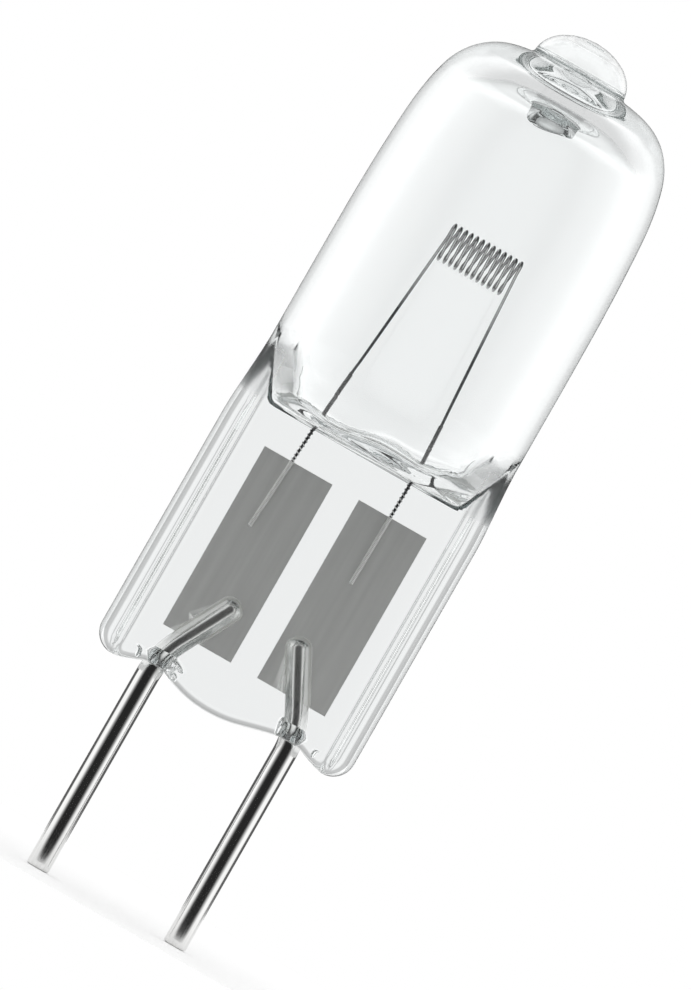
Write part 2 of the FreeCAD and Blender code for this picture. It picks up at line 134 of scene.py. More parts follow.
class StageSettings(bpy.types.PropertyGroup):
    """Floor and camera."""
    floor_size: length("Floor size", "Length of the floor's sides", 0.1)
    floor_front: length("Floor front", "Distance from the bulb's axis to the front edge", 12 * MM)
    floor_colour: FloatVectorProperty(
        name="Floor colour", description="Colour of the white paper floor",
        default=linear("#EEEEEE"), size=3, subtype="COLOR", min=0, max=1)
    camera_roll: FloatProperty(
        name="Camera roll", description="Turn of the camera about its line of sight",
        default=math.radians(29.8), subtype="ANGLE")
    camera_distance: length("Camera distance", "Distance from the bulb's axis", 0.6)
    view_height: length("View height", "Height of the photographed field at the bulb", 39.85 * MM)


# Distances and lines, in millimetres


def both(a, b, radius):
    """Space inside both shapes, with a rounded edge where they meet."""
    edge = np.hypot(np.maximum(radius + a, 0), np.maximum(radius + b, 0))
    return np.minimum(-radius, np.maximum(a, b)) + edge


def either(a, b, radius):
    """Space inside either shape, with a fillet where they meet."""
    fillet = np.hypot(np.maximum(radius - a, 0), np.maximum(radius - b, 0))
    return np.maximum(radius, np.minimum(a, b)) - fillet


def step(low, high, at):
    """Smooth rise from 0 at low to 1 at high."""
    share = np.clip((at - low) / (high - low), 0, 1)
    return share * share * (3 - 2 * share)


def wave(at, height, rate, phase):
    """Sine wave along a line or round a circle."""
    return height * np.sin(rate * at + phase)


def bell(offsets):
    """Weights of a bell curve that add up to 1."""
    weights = np.exp(-0.5 * offsets ** 2)
    return weights / weights.sum()


def unit(rows):
    """Rows scaled to a length of 1."""
    return rows / np.linalg.norm(rows, axis=1)[:, None]


def lengths(points):
    """Distance of each point from the first, along the line."""
    return np.concatenate([[0], np.cumsum(np.linalg.norm(np.diff(points, axis=0), axis=1))])


def sampled(points, along, at):
    """Points of a line at other places along it."""
    return np.stack([np.interp(at, along, column) for column in points.T], 1)


def polar(points):
    """Distance from the axis and angle round it."""
    return np.hypot(points[:, 0], points[:, 1]), np.arctan2(points[:, 1], points[:, 0])


def fair(points, spacing, spread):
    """Line drawn again at even spacing, with its corners eased over a length."""
    points = np.array(points, float)
    along = lengths(points)
    line = sampled(points, along, np.linspace(0, along[-1], int(along[-1] / spacing) + 1))
    reach = int(3 * spread / spacing) + 1
    kernel = bell(np.arange(-reach, reach + 1) * spacing / spread)
    first = 2 * line[0] - line[reach:0:-1]
    last = 2 * line[-1] - line[-2:-reach - 2:-1]
    padded = np.concatenate([first, line, last])
    return np.stack([np.convolve(column, kernel, "valid") for column in padded.T], 1)


def thinned(line, stride, turn):
    """Fewer points of a line: one for each stride of length or turn of direction."""
    chord = np.diff(line, axis=0)
    run = np.linalg.norm(chord, axis=1)
    bend = np.abs(np.diff(np.unwrap(np.arctan2(chord[:, 1], chord[:, 0]))))
    weight = run / stride + np.concatenate([bend[:1], bend]) / turn
    total = np.concatenate([[0], np.cumsum(weight)])
    return sampled(line, total, np.linspace(0, total[-1], int(total[-1]) + 2))


def smoothed(points):
    """Line with its corners cut twice."""
    points = np.array(points, float)
    for _ in range(2):
        before, after = points[:-1], points[1:]
        cut = np.stack([0.75 * before + 0.25 * after, 0.25 * before + 0.75 * after], 1)
        points = np.concatenate([points[:1], cut.reshape(-1, 2), points[-1:]])
    return points


# Lower edge of the seal, as X and height, and the same edge at even steps with its corners eased
SEAL_EDGE = np.array([
    (-6.0, 9.0), (-4.9, 9.0), (-4.5, 9.06), (-3.72, 9.36), (-3.6, 9.44), (-2.7, 9.44),
    (-2.4, 9.27), (-2.0, 9.13), (-1.5, 8.98), (-1.0, 8.89), (-0.4, 8.855), (0.2, 8.885),
    (0.7, 8.96), (1.2, 9.09), (2.0, 9.3), (2.6, 9.44), (3.6, 9.44), (3.9, 9.3), (4.5, 9.08),
    (4.9, 9.0), (6.0, 9.0),
])
EDGE_REACH = 12
EDGE_SPREAD = 5
EDGE_X = np.linspace(-6, 6, 481)
EDGE_Z = np.convolve(np.pad(np.interp(EDGE_X, *SEAL_EDGE.T), EDGE_REACH, "edge"),
                     bell(np.arange(-EDGE_REACH, EDGE_REACH + 1) / EDGE_SPREAD), "valid")

# Seal and shoulder: lower end of the bulb, its slanted heel with its unit normal, heights over
# which the seal's sides draw in to the bulb, and half the seal's thickness with its rims, as rise
# and the distances from the axis where it starts and ends
SEAL_TOP = 21.0
HEEL_Z = 23.0
HEEL_NORMAL = (0.899, -0.438)
SIDE_EASE = (19.6, 23.6)
SEAL_HALF = 1.7
SEAL_RIMS = ((0.2, 4.5, 5.45), (0.1, 4.88, 5.12))
HEEL_ROUND = 0.3
TOP_ROUND = 0.2
CORNER_ROUND = 0.95
FACE_ROUND = 0.5
SHOULDER_FILLET = 0.15
# Distance from a sloping side, as a share of the distance measured along an axis
SLOPE_SHARE = 0.9

# Floor of the hollow: height, slope, and waves along X and Y as height, rate and phase
FLOOR_Z = 21.72
FLOOR_SLOPE = 0.075
FLOOR_WAVES = ((0.09, 1.7, 0.9), (0.05, 2.3, 0.4))
FLOOR_ROUND = 0.3
POCKET_FILLET = 0.08

# Contact pins: straight from the free end, bent inwards about a hub, and straight again
PIN_X = 3.175
PIN_BEND = 4.0
PIN_TURN = math.radians(28)
PIN_STRAIGHT = 8.9
PIN_RUN = 2.85
PIN_HUB = PIN_X - PIN_BEND
PIN_HEADING = (-math.sin(PIN_TURN), math.cos(PIN_TURN))
PIN_END = (PIN_HUB + PIN_BEND * math.cos(PIN_TURN), PIN_STRAIGHT + PIN_BEND * math.sin(PIN_TURN))
PIN_FREE_ROUND = 0.12
PIN_INNER_ROUND = 0.42

# Funnel round a pin where it leaves the glass; above its top the pin is fused in
BORE_RADIUS = 0.44
BORE_FLARE = 0.47
BORE_TOP = 10.4
FLARE_FOOT = 9.3
BORE_ROUND = 0.1

# Profiles, as radius and height: the bulb's outer side up to the tip, the tip, the thick lower
# end of the hollow, the stub of the exhaust tube inside the dome, and the bubble in the tip
BULB_LINE = fair([
    (5.645, 22.0), (5.645, 27.5), (5.63, 30.0), (5.59, 31.6), (5.53, 33.0), (5.47, 34.0),
    (5.39, 34.81), (5.25, 35.61), (5.04, 36.42), (4.87, 36.82), (4.62, 37.22), (4.28, 37.63),
    (3.73, 38.03), (3.3, 38.22), (2.83, 38.35), (2.4, 38.43), (1.0, 38.58),
], spacing=0.05, spread=0.3)
TIP_LINE = fair([
    (1.95, 38.1), (2.05, 38.4), (2.07, 38.6), (1.99, 38.93), (1.86, 39.17), (1.69, 39.38),
    (1.43, 39.6), (0.95, 39.84), (0.5, 39.96), (0.0, 40.0), (-0.5, 39.96), (-0.95, 39.84),
], spacing=0.03, spread=0.12)
LOW_LINE = fair([
    (3.0, 20.0), (3.5, 21.2), (3.95, 22.1), (4.3, 22.7), (4.52, 23.2), (4.62, 23.7),
    (4.645, 24.2), (4.645, 28.0),
], spacing=0.05, spread=0.2)
STUB = [
    (1.06, 36.75), (1.05, 36.2), (1.0, 36.05), (0.86, 36.0), (0.72, 36.05), (0.66, 36.2),
    (0.6, 36.6), (0.46, 36.95), (0.44, 37.3), (0.42, 37.6), (0.2, 37.76), (0.0, 37.76),
]
BUBBLE = [
    (0.0, 38.58), (1.0, 38.58), (1.78, 38.59), (1.87, 38.68), (1.82, 38.9), (1.7, 39.1),
    (1.55, 39.28), (1.33, 39.46), (0.89, 39.68), (0.47, 39.78), (0.0, 39.82),
]
# Hollows in the seal, as centre in its plane, half sizes along X, Y and Z, and slope: pockets in
# the bulb's floor, then a closed lens under it and slits beside the pins where no glass fused
POCKETS = [((-3.0, 21.52), (0.8, 1.0, 0.3), 0.1), ((2.9, 21.85), (1.0, 1.0, 0.3), 0.08)]
SLITS = [
    ((-0.1, 21.32), (1.9, 1.1, 0.26), 0.16), ((-3.75, 9.7), (0.5, 0.5, 0.1), -0.35),
    ((-2.25, 9.88), (0.34, 0.5, 0.15), -0.45), ((1.75, 9.5), (0.62, 0.4, 0.09), 0.42),
    ((2.45, 10.0), (0.16, 0.45, 0.26), 0.0), ((3.95, 9.6), (0.45, 0.5, 0.1), 0.25),
]


def pin_distance(x, y, z, sign):
    """Distance from the centre line of one contact pin."""
    across = x * sign
    rise = z - PIN_STRAIGHT
    turn = np.arctan2(rise, across - PIN_HUB)
    bent = np.hypot(across - PIN_HUB, rise) - PIN_BEND
    run = (across - PIN_END[0]) * PIN_HEADING[1] - (z - PIN_END[1]) * PIN_HEADING[0]
    aside = np.where(turn < 0, across - PIN_X, np.where(turn < PIN_TURN, bent, run))
    return np.hypot(aside, y)


def pocket(x, y, z, centre, size, lean):
    """Rounded hollow, leaning in the plane of the seal."""
    dx = x - centre[0]
    dz = z - centre[1] - lean * dx
    scaled = np.sqrt((dx / size[0]) ** 2 + (y / size[1]) ** 2 + (dz / size[2]) ** 2)
    return (scaled - 1) * size[2]


def outside(x, y, z, quartz):
    """Distance from the outer surface of the flat seal and of the bulb's lower end."""
    radius = np.hypot(x, y)
    bulb_radius = quartz.bulb_radius / MM
    half_width = quartz.seal_half_width / MM
    wall = radius - bulb_radius
    heel = wall * HEEL_NORMAL[0] + (z - HEEL_Z) * HEEL_NORMAL[1]
    bulb = both(both(wall, heel, HEEL_ROUND), SEAL_TOP - z, TOP_ROUND)
    side = radius - half_width + (half_width - bulb_radius) * step(*SIDE_EASE, z)
    outline = both(side, np.interp(x, EDGE_X, EDGE_Z) - z, CORNER_ROUND)
    thick = SEAL_HALF
    for rise, low, high in SEAL_RIMS:
        thick = thick + rise * step(low, high, np.abs(x))
    slab = both(outline, (np.abs(y) - thick) * SLOPE_SHARE, FACE_ROUND)
    return np.maximum(either(bulb, slab, SHOULDER_FILLET), side)


def hollow(x, y, z):
    """Distance from the bulb's inside at its lower end, with the pockets in its floor."""
    wall = (np.hypot(x, y) - np.interp(z, *LOW_LINE.T[::-1])) * SLOPE_SHARE
    floor = FLOOR_Z + FLOOR_SLOPE * x + wave(x, *FLOOR_WAVES[0]) + wave(y, *FLOOR_WAVES[1]) - z
    room = both(wall, floor, FLOOR_ROUND)
    for shape in POCKETS:
        room = either(room, pocket(x, y, z, *shape), POCKET_FILLET)
    return room


def quartz_distance(x, y, z, quartz):
    """Distance from all surfaces of the envelope's lower end, negative in the glass."""
    glass = np.maximum(outside(x, y, z, quartz), -hollow(x, y, z))
    flare = BORE_RADIUS + BORE_FLARE * step(BORE_TOP, FLARE_FOOT, z)
    for sign in SIDES.values():
        bore = both(pin_distance(x, y, z, sign) - flare, z - BORE_TOP, BORE_ROUND)
        glass = np.maximum(glass, -bore)
    for shape in SLITS:
        glass = np.maximum(glass, -pocket(x, y, z, *shape))
    return glass


def quartz_slope(points, reach, quartz):
    """Change of the distance along X, Y and Z at each point."""
    columns = []
    for shift in reach * np.eye(3):
        ahead, behind = (quartz_distance(*at.T, quartz) for at in (points + shift, points - shift))
        columns.append((ahead - behind) / (2 * reach))
    return np.array(columns).T


# Meshes


def surface_net(distance, axes):
    """Vertices, one in each cell that the surface crosses, and quads that face outwards."""
    inside = distance < 0
    total = sum(inside[i:i - 1 or None, j:j - 1 or None, k:k - 1 or None].astype(np.int8)
                for i in (0, 1) for j in (0, 1) for k in (0, 1))
    cells = np.argwhere((total > 0) & (total < 8))
    numbers = np.full(total.shape, -1, np.int64)
    numbers[tuple(cells.T)] = np.arange(len(cells))
    sums = np.zeros((len(cells), 3))
    counts = np.zeros(len(cells))
    ahead = np.eye(3, dtype=int)
    for axis in range(3):
        for corner in ((0, 0), (0, 1), (1, 0), (1, 1)):
            near = cells + np.insert(corner, axis, 0)
            far = near + ahead[axis]
            a, b = distance[tuple(near.T)], distance[tuple(far.T)]
            crossed = (a < 0) != (b < 0)
            share = np.where(crossed, a / np.where(crossed, a - b, 1), 0)
            start, end = (np.stack([axes[other][at[:, other]] for other in range(3)], 1)
                          for at in (near, far))
            sums += np.where(crossed[:, None], start + share[:, None] * (end - start), 0)
            counts += crossed
    quads = []
    for axis in range(3):
        one, two = (axis + 1) % 3, (axis + 2) % 3
        low = np.take(inside, range(inside.shape[axis] - 1), axis)
        high = np.take(inside, range(1, inside.shape[axis]), axis)
        edges = np.argwhere(low != high)
        for other in (one, two):
            edges = edges[(edges[:, other] > 0) & (edges[:, other] < numbers.shape[other])]
        ring = np.array([numbers[tuple((edges - i * ahead[one] - j * ahead[two]).T)]
                         for i, j in ((1, 1), (0, 1), (0, 0), (1, 0))]).T
        outward = low[tuple(edges.T)]
        quads.append(np.where(outward[:, None], ring, ring[:, ::-1]))
    return sums / counts[:, None], np.concatenate(quads)


def turned(line, angles, outward):
    """Vertices, normals and faces of a turned profile, whose last point becomes a pole."""
    slope = unit(np.gradient(line, axis=0))
    facing = np.stack([slope[:, 1], -slope[:, 0]], 1) * (1 if outward else -1)
    ring = np.stack([np.cos(angles), np.sin(angles)], 1)
    grid = (len(line) - 1, len(ring))

    def spun(profile):
        flat = profile[:-1, None, :1] * ring[None]
        height = np.broadcast_to(profile[:-1, None, 1:], (*grid, 1))
        return np.concatenate([flat, height], 2).reshape(-1, 3)

    vertices = np.concatenate([spun(line), [(0, 0, line[-1, 1])]])
    normals = np.concatenate([spun(facing), [(0, 0, np.sign(facing[-2, 1]))]])
    number = np.arange(grid[0] * grid[1]).reshape(grid)
    after = np.roll(number, -1, 1)
    quads = np.stack([number[:-1], after[:-1], after[1:], number[1:]], -1).reshape(-1, 4)
    cap = np.stack([number[-1], after[-1], np.full(len(ring), len(vertices) - 1)], -1)
    faces = quads.tolist() + cap.tolist()
    if not outward:
        faces = [face[::-1] for face in faces]
    return vertices, normals, faces


# The bulb is a turned shape above the cut, and one with its flat seal below it. There, the split
# lies between its outer and its inner surface.
DOME_CUT = 23.8
RIM_SPLIT = 5.15
# Shift of the exhaust tip and its stub off the axis, and the radii and heights where it fades
TIP_X = -0.09
TIP_NEAR = (2.3, 4.2)
TIP_ABOVE = (35.2, 35.9)


def rim_of(quads, vertices):
    """Vertices of the open edge, as the outer ring and the inner one in order of angle."""
    edges = np.sort(np.stack([quads, np.roll(quads, -1, 1)], -1).reshape(-1, 2), 1)
    pairs, uses = np.unique(edges, axis=0, return_counts=True)
    loose = np.unique(pairs[uses == 1])
    loose = loose[np.argsort(polar(vertices[loose])[1])]
    far = polar(vertices[loose])[0] > RIM_SPLIT
    return loose[far], loose[~far]


def off_centre(vertices):
    """Moves the exhaust tip and its stub to their place beside the axis."""
    radius, _ = polar(vertices)
    moved = vertices.copy()
    moved[:, 0] += TIP_X * (1 - step(*TIP_NEAR, radius)) * step(*TIP_ABOVE, vertices[:, 2])
    return moved


def joined(parts):
    """One mesh of all parts, with the vertices that lie in the same place merged."""
    starts = np.cumsum([0] + [len(part[0]) for part in parts])
    vertices, normals = (np.concatenate([part[at] for part in parts]) for at in (0, 1))
    _, first, number = np.unique(np.round(vertices, 5), axis=0, return_index=True,
                                 return_inverse=True)
    number = number.reshape(-1)
    faces = [[int(number[corner + start]) for corner in face]
             for part, start in zip(parts, starts) for face in part[2]]
    return vertices[first], normals[first], faces


def placed(name, data):
    """New object at the origin of the scene."""
    item = bpy.data.objects.new(name, data)
    bpy.context.scene.collection.objects.link(item)
    return item


def mesh_piece(name, vertices, faces, material, normals=None):
    """Object at the origin with a smooth mesh given in millimetres."""
    mesh = bpy.data.meshes.new(name)
    mesh.from_pydata((np.asarray(vertices) * MM).tolist(), [], [list(face) for face in faces])
    mesh.materials.append(material)
    mesh.shade_smooth()
    if normals is not None:
        mesh.normals_split_custom_set_from_vertices(normals.tolist())
    mesh.validate()
    mesh.update()
    return placed(name, mesh)


def settle(piece, node):
    """Lets a finished piece stand for its CAD node."""
    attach(piece, "root")
    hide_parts(node)


# Wires that follow a path


def wire_tree(name):
    """Geometry nodes that turn a chain of edges into a round wire."""
    tree = bpy.data.node_groups.new(name, "GeometryNodeTree")
    for socket, kind in (("Path", "Geometry"), ("Radius", "Float"), ("Sides", "Int"),
                         ("Material", "Material")):
        tree.interface.new_socket(socket, in_out="INPUT", socket_type=f"NodeSocket{kind}")
    tree.interface.new_socket("Wire", in_out="OUTPUT", socket_type="NodeSocketGeometry")
    given = add(tree, "NodeGroupInput").outputs
    line = add(tree, "GeometryNodeMeshToCurve", {"Mesh": given["Path"]})
    girth = add(tree, "GeometryNodeInputNamedAttribute", {"Name": "girth"}, data_type="FLOAT")
    ring = add(tree, "GeometryNodeCurvePrimitiveCircle",
               {"Resolution": given["Sides"], "Radius": given["Radius"]}, mode="RADIUS")
    swept = add(tree, "GeometryNodeCurveToMesh",
                {"Curve": line.outputs[0], "Profile Curve": ring.outputs[0],
                 "Scale": girth.outputs[0], "Fill Caps": True})
    smooth = add(tree, "GeometryNodeSetShadeSmooth", {"Geometry": swept.outputs[0]})
    dressed = add(tree, "GeometryNodeSetMaterial",
                  {"Geometry": smooth.outputs[0], "Material": given["Material"]})
    add(tree, "NodeGroupOutput", {"Wire": dressed.outputs[0]})
    return tree


def wire_piece(name, points, radius, sides, material, girth=None):
    """Round wire along points in millimetres; girth is the share of its radius at each point."""
    tree = bpy.data.node_groups.get("round_wire") or wire_tree("round_wire")
    path = bpy.data.meshes.new(f"{name}_path")
    points = np.asarray(points) * MM
    path.from_pydata(points.tolist(), [(at, at + 1) for at in range(len(points) - 1)], [])
    girth = np.ones(len(points)) if girth is None else girth
    layer = path.attributes.new("girth", "FLOAT", "POINT")
    layer.data.foreach_set("value", np.asarray(girth, np.float32))
    carrier = placed(f"{name}_carrier", path)
    modifier = carrier.modifiers.new("Wire", "NODES")
    modifier.node_group = tree
    sockets = {item.name: item.identifier for item in tree.interface.items_tree}
    modifier[sockets["Radius"]] = radius
    modifier[sockets["Sides"]] = sides
    modifier[sockets["Material"]] = material
    evaluated = carrier.evaluated_get(bpy.context.evaluated_depsgraph_get())
    mesh = bpy.data.meshes.new_from_object(evaluated)
    if not len(mesh.polygons):
        raise RuntimeError(f"{name} has no faces")
    mesh.name = name
    bpy.data.objects.remove(carrier)
    bpy.data.meshes.remove(path)
    return placed(name, mesh)


def bezier_chain(corners, radius, spacing, corner_points=9):
    """Points along straight runs whose corners are rounded by an arc-like curve."""
    corners = [np.array(corner, float) for corner in corners]
    points = [corners[0]]
    for before, corner, after in zip(corners, corners[1:], corners[2:]):
        back = (before - corner) / np.linalg.norm(before - corner)
        onward = (after - corner) / np.linalg.norm(after - corner)
        half = math.acos(np.clip(back @ onward, -1, 1)) / 2
        tangent = radius / math.tan(half)
        enter, leave = corner + back * tangent, corner + onward * tangent
        for share in np.linspace(0, 1, corner_points):
            rest = 1 - share
            points.append(rest ** 2 * enter + 2 * share * rest * corner + share ** 2 * leave)
    points.append(corners[-1])
    chain = [points[0]]
    for start, end in zip(points, points[1:]):
        pieces = max(1, math.ceil(np.linalg.norm(end - start) / spacing))
        chain.extend(start + (end - start) * (at + 1) / pieces for at in range(pieces))
    return np.array(chain)


# Filament: flat turns side by side along X, with narrow arcs at head and foot, leaning a little
COIL_TURNS = 12
COIL_PITCH = 0.255
COIL_LOOP = 0.25
COIL_SHIFT = 0.13
COIL_MIDDLE = 30.05
COIL_HALF = 0.78
COIL_LEAN = 0.06
COIL_HEAD = 0.045
COIL_FOOT = 0.025
COIL_FIRST = COIL_SHIFT - COIL_TURNS * COIL_PITCH / 2
COIL_START = COIL_FIRST - COIL_HEAD
COIL_LAST = COIL_FIRST + COIL_TURNS * COIL_PITCH + COIL_HEAD
COIL_ARC = np.linspace(0, math.pi, 13)
COIL_HIGH = COIL_MIDDLE + COIL_HALF - COIL_LOOP
COIL_LOW = COIL_MIDDLE - COIL_HALF + COIL_LOOP
# Corners of the legs, from the foil up to the coil, and the upright part below the coil
LEG_UPRIGHT = 0.3
LEG_BEND = 2.0
LEG_SPACING = 0.25
LEGS = {
    "left": [(-2.60, -0.13, 16.2), (-2.23, -0.13, 21.75),
             (COIL_START, COIL_LOOP, COIL_HIGH - LEG_UPRIGHT), (COIL_START, COIL_LOOP, COIL_HIGH)],
    "right": [(2.10, -0.13, 16.2), (2.20, -0.13, 21.75),
              (COIL_LAST, -COIL_LOOP, COIL_HIGH - LEG_UPRIGHT), (COIL_LAST, -COIL_LOOP, COIL_HIGH)],
}
WIRE_SIDES = 10

# Winding on the legs: its wire, its upper end, and the heights where its turns stand open
WINDING_WIRE = 0.052
WINDING_SIDES = 6
WINDING_TOP = 23.4
WINDING_POINTS = 10
WINDING_SPACING = 0.02
OPEN_FROM = (19.2, 19.6)
OPEN_TO = (21.6, 21.1)
OPEN_PITCH = 2.2


def coil_points():
    """Centre line of the flat coil, whose back strands lead on to the next turn."""
    points = []
    for turn in range(COIL_TURNS + 1):
        middle = COIL_FIRST + turn * COIL_PITCH
        for angle in COIL_ARC:
            points.append((middle - COIL_HEAD * math.cos(angle), COIL_LOOP * math.cos(angle),
                           COIL_HIGH + COIL_LOOP * math.sin(angle)))
        if turn < COIL_TURNS:
            foot = middle + COIL_LEAN
            for angle in COIL_ARC:
                points.append((foot + COIL_FOOT * math.cos(angle), -COIL_LOOP * math.cos(angle),
                               COIL_LOW - COIL_LOOP * math.sin(angle)))
    return points


def winding_points(side, diameter, pitch):
    """Centre line of the fine wire wound round a leg."""
    path = bezier_chain(LEGS[side][:3], LEG_BEND, WINDING_SPACING)
    path = path[path[:, 2] <= WINDING_TOP]
    along = lengths(path)
    whole = along[-1]
    count = int(whole / pitch * WINDING_POINTS)
    line = sampled(path, along, np.linspace(0, whole, count))
    heading = unit(np.gradient(line, axis=0))
    across = unit(np.cross(heading, (0, 1, 0)))
    upward = np.cross(across, heading)
    open_turns = step(*OPEN_FROM, line[:, 2]) * step(*OPEN_TO, line[:, 2])
    turns = np.cumsum(np.full(count, whole / count) / (pitch * (1 + OPEN_PITCH * open_turns)))
    angle = 2 * math.pi * turns
    radius = diameter / 2 - WINDING_WIRE / 2
    return line + radius * (np.cos(angle)[:, None] * across + np.sin(angle)[:, None] * upward)


# Materials. Most of a noise lies between these ends.
NOISE_ENDS = (0.3, 0.7)


def material_tree(name):
    """New node material: its tree, its shader and its Object coordinates."""
    material = bpy.data.materials.get(name) or bpy.data.materials.new(name)
    material.use_nodes = True
    tree = material.node_tree
    tree.nodes.clear()
    shader = add(tree, "ShaderNodeBsdfPrincipled")
    add(tree, "ShaderNodeOutputMaterial", {"Surface": shader.outputs[0]})
    place = add(tree, "ShaderNodeTexCoord").outputs["Object"]
    return material, tree, shader, place


def between(tree, share, first, last, low=0.0, high=1.0, rise="LINEAR"):
    """Value that runs from first to last while the share runs from low to high."""
    return add(tree, "ShaderNodeMapRange",
               {"Value": share, "From Min": low, "From Max": high, "To Min": first,
                "To Max": last}, interpolation_type=rise).outputs[0]


def maths(tree, operation, *values):
    """Result of one step of arithmetic."""
    return add(tree, "ShaderNodeMath", dict(enumerate(values)), operation=operation).outputs[0]


def tones(tree, share, first, last, ends=(0.0, 1.0)):
    """Colour that runs from the first to the last while the share runs between its ends."""
    ramp = add(tree, "ShaderNodeValToRGB", {"Fac": share})
    for element, colour, end in zip(ramp.color_ramp.elements, (first, last), ends):
        element.position = end
        element.color = (*colour, 1)
    return ramp.outputs[0]


def grain(tree, place, scale, detail):
    """Noise of the same size along X, Y and Z."""
    return add(tree, "ShaderNodeTexNoise",
               {"Vector": place, "Scale": scale, "Detail": detail}).outputs["Fac"]


def streaks(tree, place, scale, detail):
    """Noise with a scale for each of X, Y and Z."""
    drawn = add(tree, "ShaderNodeMapping", {"Vector": place, "Scale": scale}).outputs[0]
    return grain(tree, drawn, 1.0, detail)


def relief(tree, height, strength, depth):
    """Normal of a surface with a fine relief, its depth given in millimetres."""
    return add(tree, "ShaderNodeBump",
               {"Height": height, "Strength": strength, "Distance": depth * MM}).outputs[0]


def fused_quartz():
    """Fused quartz, flame-polished: clear, faintly cool, with soft draw lines along its length."""
    material, tree, shader, place = material_tree("Fused quartz, flame-polished")
    # Draw lines about 0.8 mm apart round the tube and many times longer along it
    lines = streaks(tree, place, (1250, 1250, 45), 1.0)
    # The pressing jaws leave both sides of the shoulder a little matt
    spot = add(tree, "ShaderNodeSeparateXYZ", {"Vector": place}).outputs
    aside = maths(tree, "ABSOLUTE", spot["X"])
    matt = 0.4
    for along, first, last, low, high in (
            (aside, 0, 1, 4.3, 4.9), (spot["Z"], 0, 1, 20.5, 21.1), (spot["Z"], 1, 0, 22.7, 23.4)):
        share = between(tree, along, first, last, low * MM, high * MM)
        matt = maths(tree, "MULTIPLY", share, matt)
    fill(tree, shader, {
        "Base Color": (*linear("#FCFDFD"), 1), "IOR": 1.458, "Transmission Weight": 1.0,
        "Roughness": matt, "Normal": relief(tree, lines, 0.12, 0.02)})
    # A few millimetres of glass take away a little light
    tint = add(tree, "ShaderNodeVolumeAbsorption",
               {"Color": (*linear("#F5F6F6"), 1), "Density": 260.0})
    fill(tree, tree.nodes["Material Output"], {"Volume": tint.outputs[0]})
    return material


def bright_molybdenum():
    """Molybdenum wire, bright drawn: near mirror, with fine lines from the die along it."""
    material, tree, shader, place = material_tree("Molybdenum wire, bright drawn")
    # Die lines about 0.06 mm apart, 3 mm long
    lines = streaks(tree, place, (16000, 16000, 330), 2.0)
    fill(tree, shader, {
        "Base Color": tones(tree, lines, linear("#DCDCDB"), linear("#EEEEED"), NOISE_ENDS),
        "Metallic": 1.0, "Roughness": between(tree, lines, 0.06, 0.13, *NOISE_ENDS),
        "Normal": relief(tree, lines, 0.1, 0.004)})
    return material


def matt_foil():
    """Molybdenum foil, etched: even matt grey with a fine grain, burnished over the pin."""
    material, tree, shader, place = material_tree("Molybdenum foil, etched matt")
    # The etched skin is half oxide and scatters a part of the light; the burnished ridge mirrors it
    press = add(tree, "ShaderNodeAttribute", attribute_name="press").outputs["Fac"]
    # Etched grain of 0.05 mm, and rolling streaks 0.35 mm wide along the foil
    fine = grain(tree, place, 20000.0, 2.0)
    rolled = streaks(tree, place, (2800, 2800, 130), 2.0)
    etched = between(tree, fine, 0.3, 0.38, *NOISE_ENDS)
    fill(tree, shader, {
        "Base Color": tones(tree, rolled, linear("#DCDCDA"), linear("#E6E6E4"), NOISE_ENDS),
        "Metallic": between(tree, press, 0.5, 0.95),
        "Roughness": between(tree, press, etched, 0.15),
        "Normal": relief(tree, fine, 0.15, 0.004)})
    return material


def wire_with_painted_light(name, low, high, change, metallic, roughness):
    """Fine drawn wire whose base colour changes with height between two tones: painted highlight
    and painted shade along it.
    """
    material, tree, shader, place = material_tree(name)
    height = add(tree, "ShaderNodeSeparateXYZ", {"Vector": place}).outputs["Z"]
    share = between(tree, height, 0.0, 1.0, change[0] * MM, change[1] * MM)
    # Uneven tone where the painted light and shade change over, in patches of 0.15 mm
    uneven = between(tree, grain(tree, place, 6700.0, 2.0), -0.1, 0.1, *NOISE_ENDS)
    spot = maths(tree, "ADD", share, uneven)
    # Painted light and shade: the base colour runs from the lower tone to the upper tone with
    # height
    fill(tree, shader, {"Base Color": tones(tree, spot, linear(low), linear(high)),
                        "Metallic": metallic, "Roughness": roughness})
    return material


def white_paper(colour):
    """White studio paper: matt and even, so that only soft shadow shows on it."""
    material, tree, shader, place = material_tree("Studio paper, white")
    fibre = grain(tree, place, 900.0, 3.0)
    shade = [part * 0.99 for part in colour]
    fill(tree, shader, {"Base Color": tones(tree, fibre, shade, colour),
                        "Roughness": 0.9, "Specular IOR Level": 0.0})
    return material


# Envelope. Grid of the lower end: an offset from the plane of symmetry, layers as bottom, top and
# height of a cell, and limits for moving the net's points on to the surface
GRID_OFFSET = 0.031
GRID_LAYERS = ((8.6, 10.6, 0.1), (10.6, 19.8, 0.3), (19.8, DOME_CUT + 0.1, 0.11))
NET_PASSES = 3
NET_REACH = 0.005
NET_LEAST_SLOPE = 0.05
NET_LARGEST_SHIFT = 0.08
NORMAL_REACH = 0.02
# Dome and tip: where the dome's line ends and the tip's begins, and the tip's top
DOME_END_RADIUS = 2.14
TIP_START_Z = 38.53
TIP_TOP = 39.999
# Inside of the dome: heights over which the wall thickens, heights where the lower line ends and
# the dome's line starts, radius where that ends, and the root of the stub as radius and drop
CROWN_EASE = (36, 38)
LOW_LINE_END = 27.5
DOME_INSIDE_START = 27.9
DOME_INSIDE_END = 1.5
STUB_ROOT = (1.12, 0.02)
# Uneven end of the stub: heights and radii over which it fades, and waves round the axis
STUB_END = (37.0, 36.1)
STUB_REACH = (1.3, 1.1)
STUB_WAVES = ((0.14, 1, 0.9), (0.07, 2, 2.1))
BUBBLE_SIDES = 96


